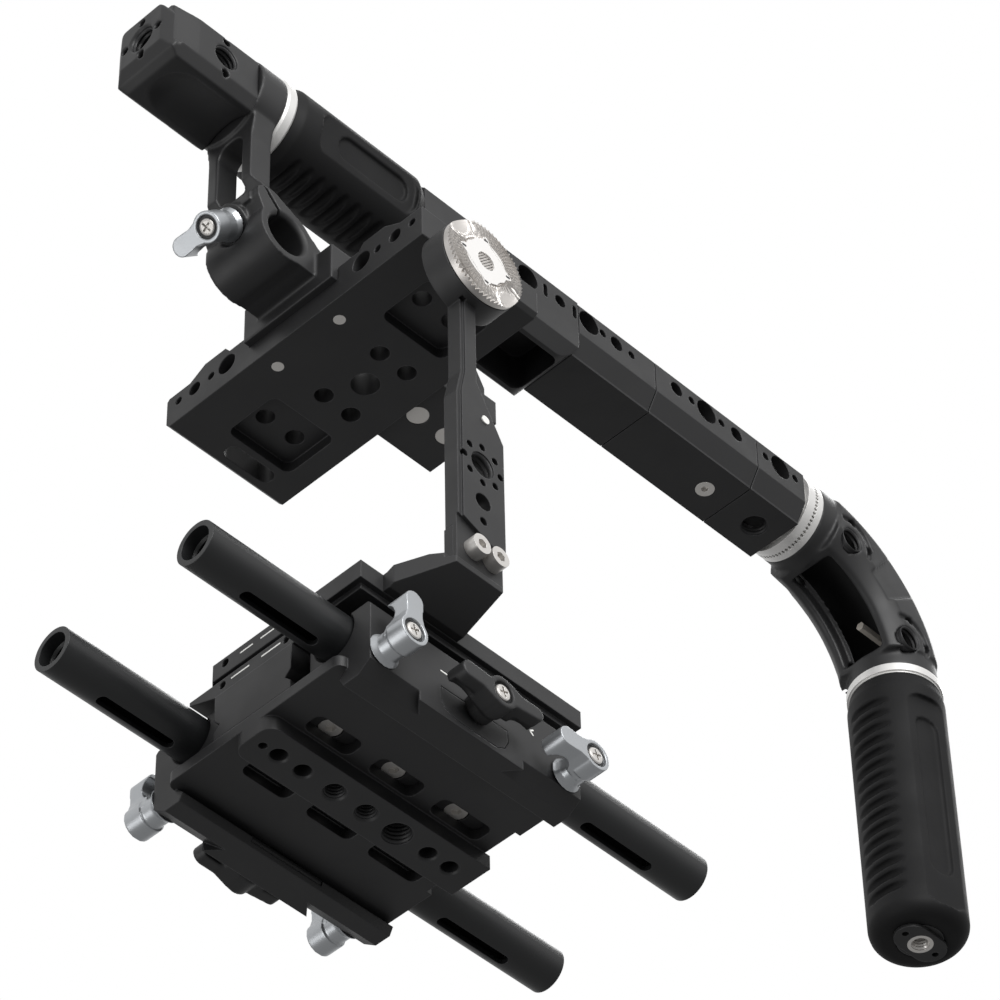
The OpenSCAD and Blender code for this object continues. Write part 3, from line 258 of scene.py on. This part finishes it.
def roundedForm(node, voxel, passes, crisp):
    bm = bmesh.new()
    bm.from_mesh(nodes[node].data)
    bmesh.ops.remove_doubles(bm, verts=bm.verts, dist=weldSet["solid"])
    mesh = bpy.data.meshes.new(node + "Start")
    bm.to_mesh(mesh)
    bm.free()
    form = bpy.data.objects.new(node + "Form", mesh)
    bpy.context.scene.collection.objects.link(form)
    for centre, size, turn, axis in cutSet.get(node, []):
        cutAway(form, Matrix.Translation(Vector(centre) * mm) @ Matrix.Rotation(math.radians(turn), 4, axis)
                @ Matrix.Diagonal((*(n * mm for n in size), 1)), node + "Start")
    even = form.modifiers.new("even", "REMESH")
    even.mode, even.voxel_size, even.use_smooth_shade = "VOXEL", voxel * mm, True
    made = applied(form, node + "Even")
    soft = form.modifiers.new("rounded", "SMOOTH")
    soft.factor, soft.iterations = smoothSet["factor"], passes
    if crisp:
        group = form.vertex_groups.new(name="loose")
        for v in made.vertices:
            share = (crisp - abs(v.co.x) / mm) / smoothSet["fade"]
            group.add([v.index], min(1.0, max(smoothSet["least"], share)), "REPLACE")
        soft.vertex_group = "loose"
    made = applied(form, node + "Form")
    form.vertex_groups.clear()
    made.materials.clear()
    made.materials.append(materials[slotFinish[nodeSlot[node]]])
    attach(form, nodeBody[node])
    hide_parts(node)
    return len(made.polygons)


for node, (voxel, passes, crisp) in roundSet.items():
    print("rounded", node, roundedForm(node, voxel, passes, crisp), "faces")


# screw threads: one ring per pitch inside the plain bores, radius and pitch in mm
threadSet = {"coarse": {"radius": 4.76, "pitch": 1.5875}, "quarter": {"radius": 3.175, "pitch": 1.27},
             "metric": {"radius": 3.0, "pitch": 1.0}, "rod": {"radius": 5.7, "pitch": 1.75}}
# gap to the bore and depth of a root's flat in mm, thread height as a share of the pitch
threadForm = {"gap": 0.02, "root": 0.1, "height": 0.4, "steps": 40}
blackLook = ("anodisedAluminium", "anodised_black")
tubeLook = ("anodisedTube", "rod_black")
steelLook = ("platedSteel", "steel")
# name, body, kind, start in mm, way in, length in mm, look
threadPlaces = [
    ("tripodThread", "base", "coarse", (0, 0, 0.4), (0, 0, 1), 8.6, blackLook),
    ("tripodThreadNear", "base", "quarter", (0, -12.7, 0.9), (0, 0, 1), 8.0, blackLook),
    ("tripodThreadFar", "base", "quarter", (0, -25.4, 0.9), (0, 0, 1), 8.0, blackLook),
    ("frontThread", "cage", "coarse", (0, -113.8, 268.5), (0, 1, 0), 11.4, blackLook),
    ("sideThread", "cage", "coarse", (14.0, -90.8, 267.0), (-1, 0, 0), 10.0, blackLook),
    ("armThread", "cage", "coarse", (62.6, -26.6, 89.0), (-1, 0, 0), 5.2, blackLook),
    ("beamThread", "cage", "coarse", (0, 174.9, 253.2), (0, 0, 1), 3.2, blackLook),
    ("rosetteThread", "cage", "metric", (68.9, -30.0, 172.2), (-1, 0, 0), 9.7, steelLook),
    ("gripThread", "grip_arm", "quarter", (0, 245.0, 104.4), (0, 0, 1), 12.8, steelLook),
    ("elbowThreadTop", "grip_arm", "coarse", (16.0, 209.01, 258.73), (-1, 0, 0), 4.0, blackLook),
    ("elbowThreadLow", "grip_arm", "coarse", (16.0, 236.22, 229.24), (-1, 0, 0), 4.0, blackLook),
]
# the rods are threaded inside both ends: depth of the first ring and length in mm
rodThread = {"inset": 4.0, "length": 12.0}
for rod in ("rod_l", "rod_r"):
    low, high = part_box(rod)
    middle = (low + high) / 2 / mm
    front, back = low.y / mm + rodThread["inset"], high.y / mm - rodThread["inset"]
    for end, y, way in (("Front", front, 1), ("Back", back, -1)):
        threadPlaces.append((rod + "Thread" + end, rod, "rod", (middle.x, y, middle.z), (0, way, 0),
                             rodThread["length"], tubeLook))


def threadRing(s, name, body, kind, start, axis, length, look):
    radius, pitch = threadSet[kind]["radius"], threadSet[kind]["pitch"]
    outer, inner = radius - s["gap"], radius - s["height"] * pitch
    turns = max(1, int(length / pitch))
    profile = [(outer, 0.0)]
    for i in range(turns):
        profile += [(outer - s["root"], i * pitch + s["gap"]), (inner, (i + 0.5) * pitch)]
    profile += [(outer - s["root"], turns * pitch - s["gap"]), (outer, turns * pitch)]
    bm = bmesh.new()
    verts = [bm.verts.new((r * mm, 0, h * mm)) for r, h in profile]
    edges = [bm.edges.new((verts[i], verts[(i + 1) % len(verts)])) for i in range(len(verts))]
    bmesh.ops.spin(bm, geom=verts + edges, axis=(0, 0, 1), cent=(0, 0, 0), angle=2 * math.pi, steps=s["steps"],
                   use_merge=True)
    turn = Vector(axis).to_track_quat("Z", "Y").to_matrix().to_4x4()
    bmesh.ops.transform(bm, matrix=Matrix.Translation(Vector(start) * mm) @ turn, verts=bm.verts)
    return finishMesh(name, bm, body, *look)


for place in threadPlaces:
    threadRing(threadForm, *place)
print("threads:", len(threadPlaces))


# lever and wing screws: a pan head with a cross recess, sunk in its pocket over a dark disc that paints the
# shade in the pocket
screwSet = {"head": 2.75, "crossLong": 3.6, "crossWide": 0.75, "crossDeep": 1.0, "crossTurn": 20,
            "shadeDiscThick": 0.25, "shadeDiscGap": 0.05, "shadeDiscLift": 0.02, "tip": 0.3, "rimDrop": 0.45, "rimIn": 0.25,
            "crownDrop": 0.15, "crownIn": 0.8, "steps": 48}
# node it stands for, foot of the axis, way out, pocket floor, head top, pocket radius, shank radius, depth,
# all in mm
screwPlaces = [
    ("stud_fl", (45.0, -50.0, 8.7), (1, 0, 0), 11.8, 13.0, 3.85, 2.5, 21.4),
    ("stud_rl", (45.0, 24.0, 8.7), (1, 0, 0), 11.8, 13.0, 3.85, 2.5, 21.4),
    ("stud_fr", (-45.0, -50.0, 8.7), (-1, 0, 0), 11.8, 13.0, 3.85, 2.5, 21.4),
    ("stud_rr", (-45.0, 24.0, 8.7), (-1, 0, 0), 11.8, 13.0, 3.85, 2.5, 21.4),
    ("stud_post", (0.0, -74.2, 210.4), (0, -0.733113, -0.680106), 11.8, 13.0, 3.85, 2.5, 14.5),
    ("wing_stud_l", (45.0, -12.7, 10.4), (1, 0, 0), 10.0, 11.5, 3.65, 2.0, 26.1),
    ("wing_stud_r", (-45.0, -12.7, 10.4), (-1, 0, 0), 10.0, 11.5, 3.65, 2.0, 7.6),
]


def spinPiece(name, profile, closed, place, body, look):
    bm = bmesh.new()
    verts = [bm.verts.new((r * mm, 0, h * mm)) for r, h in profile]
    ends = range(len(verts)) if closed else range(1, len(verts))
    edges = [bm.edges.new((verts[i - 1], verts[i])) for i in ends]
    bmesh.ops.spin(bm, geom=verts + edges, axis=(0, 0, 1), cent=(0, 0, 0), angle=2 * math.pi,
                   steps=screwSet["steps"], use_merge=True)
    bmesh.ops.transform(bm, matrix=place, verts=bm.verts)
    return finishMesh(name, bm, body, *look)


def leverScrew(s, node, foot, axis, seat, top, pocket, shank, deep):
    aim = Vector(axis).to_track_quat("Z", "Y").to_matrix().to_4x4()
    place = Matrix.Translation(Vector(foot) * mm) @ aim
    body, head, tip = nodeBody[node], s["head"], s["tip"]
    profile = [(0, -deep), (shank - tip, -deep), (shank, -deep + tip), (shank, seat), (head, seat),
               (head, top - s["rimDrop"]), (head - s["rimIn"], top - s["crownDrop"]), (head - s["crownIn"], top),
               (0, top)]
    screw = spinPiece(node + "Screw", profile, False, place, body, steelLook)
    arm = Matrix.Diagonal((s["crossLong"] * mm, s["crossWide"] * mm, 2 * s["crossDeep"] * mm, 1))
    for turn in (0, 90):
        spin = Matrix.Rotation(math.radians(turn + s["crossTurn"]), 4, "Z")
        cutAway(screw, place @ Matrix.Translation((0, 0, top * mm)) @ spin @ arm, node + "Screw")
    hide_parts(node)
    # dark disc on the pocket floor: painted shade in the ring around the head
    low, high, inner = seat + s["shadeDiscLift"], seat + s["shadeDiscThick"], head + s["shadeDiscGap"]
    spinPiece(node + "ShadeDisc", [(inner, low), (pocket, low), (pocket, high), (inner, high)], True, place, body,
              tubeLook)


for place in screwPlaces:
    leverScrew(screwSet, *place)
print("lever and wing screws:", len(screwPlaces))


# rosette: toothed ring with two scooped places under a bright plate, heights above its seat in mm
rosetteSet = {"teeth": 60, "outer": 15.9, "bore": 5.3, "crest": 3.08, "valley": 1.95, "floor": 2.5,
              "toothFrom": 8.8, "toothRamp": 1.2, "perTooth": 4, "rings": 16, "chamfer": 0.4, "wall": 1.2,
              "scoopTurn": 138, "scoopAt": 15.5, "scoopSize": 7.4, "scoopDeep": 1.7}
plateSet = {"bore": 3.5, "side": 8.7, "corner": 2.4, "cornerSpread": 15, "clear": 7.5, "low": 2.46,
            "high": 3.02, "segments": 160, "slotAt": 9.5, "slotLong": 1.7, "slotWide": 0.9, "slotThick": 0.06,
            "slotRound": 0.3}


def scoopDistance(radius, angle, turn):
    across = rosetteSet["scoopAt"]
    return math.sqrt(radius ** 2 + across ** 2 - 2 * radius * across * math.cos(angle - math.radians(turn)))


def toothHeight(s, radius, angle):
    ramp = min(1.0, max(0.0, (radius - s["toothFrom"]) / s["toothRamp"]))
    wave = abs((angle * s["teeth"] / (2 * math.pi)) % 1 * 2 - 1)
    top = s["floor"] + ramp * (s["valley"] - s["floor"] + (s["crest"] - s["valley"]) * wave)
    for turn in (s["scoopTurn"], s["scoopTurn"] + 180):
        away = scoopDistance(radius, angle, turn) / s["scoopSize"]
        if away < 1:
            top = min(top, s["crest"] - s["scoopDeep"] * (1 - away ** 2))
    return top


def plateEdge(s, angle):
    edge = s["side"]
    for corner in range(4):
        off = math.degrees(math.remainder(angle - corner * math.pi / 2, 2 * math.pi)) / s["cornerSpread"]
        if abs(off) < 1:
            edge += s["corner"] * (0.5 + 0.5 * math.cos(math.pi * off))
    for turn in (rosetteSet["scoopTurn"], rosetteSet["scoopTurn"] + 180):
        off = math.remainder(angle - math.radians(turn), 2 * math.pi)
        room = s["clear"] ** 2 - (rosetteSet["scoopAt"] * math.sin(off)) ** 2
        if room > 0 and math.cos(off) > 0:
            edge = min(edge, rosetteSet["scoopAt"] * math.cos(off) - math.sqrt(room))
    return edge


def rosetteSeat():
    low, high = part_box("rosette")
    seat = Vector((low[0], (low[1] + high[1]) / 2, (low[2] + high[2]) / 2))
    return Matrix.Translation(seat) @ Matrix(((0, 0, 1), (1, 0, 0), (0, 1, 0))).to_4x4()


def loopEdges(loops):
    ring, edges = set(loops), dict.fromkeys(e for v in loops for e in v.link_edges)
    return [e for e in edges if e.verts[0] in ring and e.verts[1] in ring]


def uprightEdges(verts, thick):
    edges = dict.fromkeys(e for v in verts for e in v.link_edges)
    return [e for e in edges if abs(e.verts[0].co.z - e.verts[1].co.z) > 0.5 * thick * mm]


def rosetteRing(s):
    bm = bmesh.new()
    face = [s["outer"] - (s["outer"] - s["bore"]) * i / s["rings"] for i in range(s["rings"] + 1)]
    profile = [(s["bore"], 0.0), (s["outer"] - s["chamfer"], 0.0), (s["outer"], s["chamfer"]),
               (s["outer"], s["wall"])] + [(r, None) for r in face]
    loops = []
    for radius, level in profile:
        made = bmesh.ops.create_circle(bm, segments=s["teeth"] * s["perTooth"], radius=radius * mm)["verts"]
        for v in made:
            v.co.z = (toothHeight(s, radius, math.atan2(v.co.y, v.co.x)) if level is None else level) * mm
        loops.append(made)
    for i in range(len(loops)):
        bmesh.ops.bridge_loops(bm, edges=loopEdges(loops[i - 1]) + loopEdges(loops[i]))
    bmesh.ops.transform(bm, matrix=rosetteSeat(), verts=bm.verts)
    ring = finishMesh("rosetteRing", bm, "cage", "stainlessSteel", "rosette_steel")
    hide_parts("rosette")


def rosettePlate(s):
    bm = bmesh.new()
    outer = bmesh.ops.create_circle(bm, segments=s["segments"], radius=mm)["verts"]
    for v in outer:
        v.co *= plateEdge(s, math.atan2(v.co.y, v.co.x))
    inner = bmesh.ops.create_circle(bm, segments=s["segments"], radius=s["bore"] * mm)["verts"]
    bmesh.ops.bridge_loops(bm, edges=loopEdges(outer) + loopEdges(inner))
    bmesh.ops.translate(bm, verts=bm.verts, vec=(0, 0, s["low"] * mm))
    raised = bmesh.ops.extrude_face_region(bm, geom=bm.faces[:])["geom"]
    bmesh.ops.translate(bm, verts=[g for g in raised if isinstance(g, bmesh.types.BMVert)],
                        vec=(0, 0, (s["high"] - s["low"]) * mm))
    bmesh.ops.transform(bm, matrix=rosetteSeat(), verts=bm.verts)
    finishMesh("rosettePlate", bm, "cage", "polishedSteel", "rosette_steel")
    # the four drive slots are dark strips laid on the plate: painted shade in place of the slots' hollows
    bm = bmesh.new()
    slotSize = Matrix.Diagonal((s["slotLong"] * mm, s["slotWide"] * mm, s["slotThick"] * mm, 1))
    for turn in range(4):
        at = Matrix.Rotation(turn * math.pi / 2, 4, "Z") @ Vector((s["slotAt"], 0, s["high"]))
        made = bmesh.ops.create_cube(bm, size=1.0, matrix=Matrix.Translation(at * mm) @ slotSize)["verts"]
        bmesh.ops.bevel(bm, geom=uprightEdges(made, s["slotThick"]), offset=s["slotRound"] * mm, affect="EDGES",
                        segments=3, profile=0.5, material=-1)
    bmesh.ops.transform(bm, matrix=rosetteSeat(), verts=bm.verts)
    finishMesh("rosetteSlotShade", bm, "cage", *tubeLook)


rosetteRing(rosetteSet)
rosettePlate(plateSet)
print("rosette set on the arm")


# white index lines and an arrow head: thin strips on the base's side and the plates' front edges, in mm
markSet = {"thick": 0.08, "wide": 0.55, "corner": 0.2, "strokes": [
    # body, centre, length, turn in degrees, face
    ("base", (45.0, -24.6, 17.2), 4.8, 0, "side"), ("base", (45.0, 10.5, 18.1), 1.9, 35, "side"),
    ("base", (45.0, 10.5, 17.0), 1.9, -35, "side"), ("cage", (-5.9, -58.1, 30.4), 7.8, 0, "front"),
    ("cage", (7.0, -58.1, 30.4), 8.0, 0, "front"), ("cage", (-3.6, -58.0, 38.3), 5.4, 0, "front"),
    ("cage", (5.2, -58.0, 38.3), 5.8, 0, "front")]}


def indexStroke(s, i, body, centre, length, turn, face):
    bm = bmesh.new()
    size = Matrix.Diagonal((length * mm, s["wide"] * mm, s["thick"] * mm, 1))
    bmesh.ops.create_cube(bm, size=1.0, matrix=Matrix.Rotation(math.radians(turn), 4, "Z") @ size)
    bmesh.ops.bevel(bm, geom=uprightEdges(bm.verts, s["thick"]), offset=s["corner"] * mm, affect="EDGES",
                    segments=3, profile=0.5, material=-1)
    rows = ((0, 0, 1), (1, 0, 0), (0, 1, 0)) if face == "side" else ((1, 0, 0), (0, 0, -1), (0, 1, 0))
    place = Matrix.Translation(Vector(centre) * mm) @ Matrix(rows).to_4x4()
    bmesh.ops.transform(bm, matrix=place, verts=bm.verts)
    finishMesh("indexMark%d" % i, bm, body, "whiteNylon", "pin_white")


for i, stroke in enumerate(markSet["strokes"]):
    indexStroke(markSet, i, *stroke)
print("index marks:", len(markSet["strokes"]))


# floor, seen from above only, and soft light from all round
stageSet = {"floorSize": 6.0, "floorDrop": 0.0006, "fadeFrom": 0.3, "fadeTo": 1.3, "floor": "#e9e9e8",
            "sky": "#ffffff", "skyFrom": -0.35, "skyTo": 0.45, "skyLow": 0.3, "skyHigh": 0.8, "backdrop": 1.0}
lightAim = (0.0, 0.06, 0.15)
# name, place and size in metres, power in watts
lightSet = [
    ("keyLight", (1.5, -0.5, 0.6), 1.2, 26.0),
    ("fillLight", (-0.6, -1.6, -0.9), 1.4, 10.0),
    ("rimLight", (-0.4, 1.2, 1.6), 1.2, 16.0),
]


def buildStage(s):
    bm = bmesh.new()
    bmesh.ops.create_grid(bm, x_segments=2, y_segments=2, size=s["floorSize"] / 2)
    bmesh.ops.translate(bm, verts=bm.verts, vec=(0, 0, -s["floorDrop"]))
    mesh = bpy.data.meshes.new("floor")
    bm.to_mesh(mesh)
    bm.free()
    floor = bpy.data.objects.new("floor", mesh)
    bpy.context.scene.collection.objects.link(floor)
    floor.visible_shadow = floor.visible_diffuse = floor.visible_glossy = False
    mat = bpy.data.materials.new("paleFloor")
    mat.use_nodes = True
    tree = mat.node_tree
    tree.nodes.clear()
    # the floor melts into the white room away from the object
    away = addNode(tree, "ShaderNodeVectorMath", {"operation": "LENGTH"},
                   {0: addNode(tree, "ShaderNodeTexCoord").outputs["Object"]})
    fade = addNode(tree, "ShaderNodeMapRange", {"interpolation_type": "SMOOTHSTEP", "From Min": s["fadeFrom"],
                                                "From Max": s["fadeTo"]}, {"Value": away.outputs["Value"]})
    side = addNode(tree, "ShaderNodeMath", {"operation": "MAXIMUM"}, {
        0: addNode(tree, "ShaderNodeNewGeometry").outputs["Backfacing"], 1: fade.outputs[0]}).outputs[0]
    matt = addNode(tree, "ShaderNodeBsdfDiffuse", {"Color": linear(s["floor"])})
    clear = addNode(tree, "ShaderNodeBsdfTransparent")
    both = addNode(tree, "ShaderNodeMixShader", None, {0: side, 1: matt.outputs[0], 2: clear.outputs[0]})
    addNode(tree, "ShaderNodeOutputMaterial", None, {"Surface": both.outputs[0]})
    mesh.materials.append(mat)
    world = bpy.data.worlds.new("studio")
    bpy.context.scene.world = world
    world.use_nodes = True
    tree = world.node_tree
    tree.nodes.clear()
    # a pale room that is darker towards the ground
    way = addNode(tree, "ShaderNodeSeparateXYZ", None,
                  {0: addNode(tree, "ShaderNodeTexCoord").outputs["Generated"]})
    power = addNode(tree, "ShaderNodeMapRange",
                    {"interpolation_type": "SMOOTHSTEP", "From Min": s["skyFrom"], "From Max": s["skyTo"],
                     "To Min": s["skyLow"], "To Max": s["skyHigh"]}, {"Value": way.outputs["Z"]})
    sky = addNode(tree, "ShaderNodeBackground", {"Color": linear(s["sky"])}, {"Strength": power.outputs[0]})
    white = addNode(tree, "ShaderNodeBackground", {"Color": linear(s["sky"]), "Strength": s["backdrop"]})
    path = addNode(tree, "ShaderNodeLightPath")
    mix = addNode(tree, "ShaderNodeMixShader", None,
                  {0: path.outputs["Is Camera Ray"], 1: sky.outputs[0], 2: white.outputs[0]})
    addNode(tree, "ShaderNodeOutputWorld", None, {"Surface": mix.outputs[0]})


def addLight(name, place, size, power):
    data = bpy.data.lights.new(name, "AREA")
    data.shape, data.size, data.energy = "DISK", size, power
    lamp = bpy.data.objects.new(name, data)
    bpy.context.scene.collection.objects.link(lamp)
    aim = Vector(lightAim) - Vector(place)
    lamp.matrix_world = Matrix.Translation(place) @ aim.to_track_quat("-Z", "Y").to_matrix().to_4x4()


buildStage(stageSet)
for lamp in lightSet:
    addLight(*lamp)
print("stage and lights set")
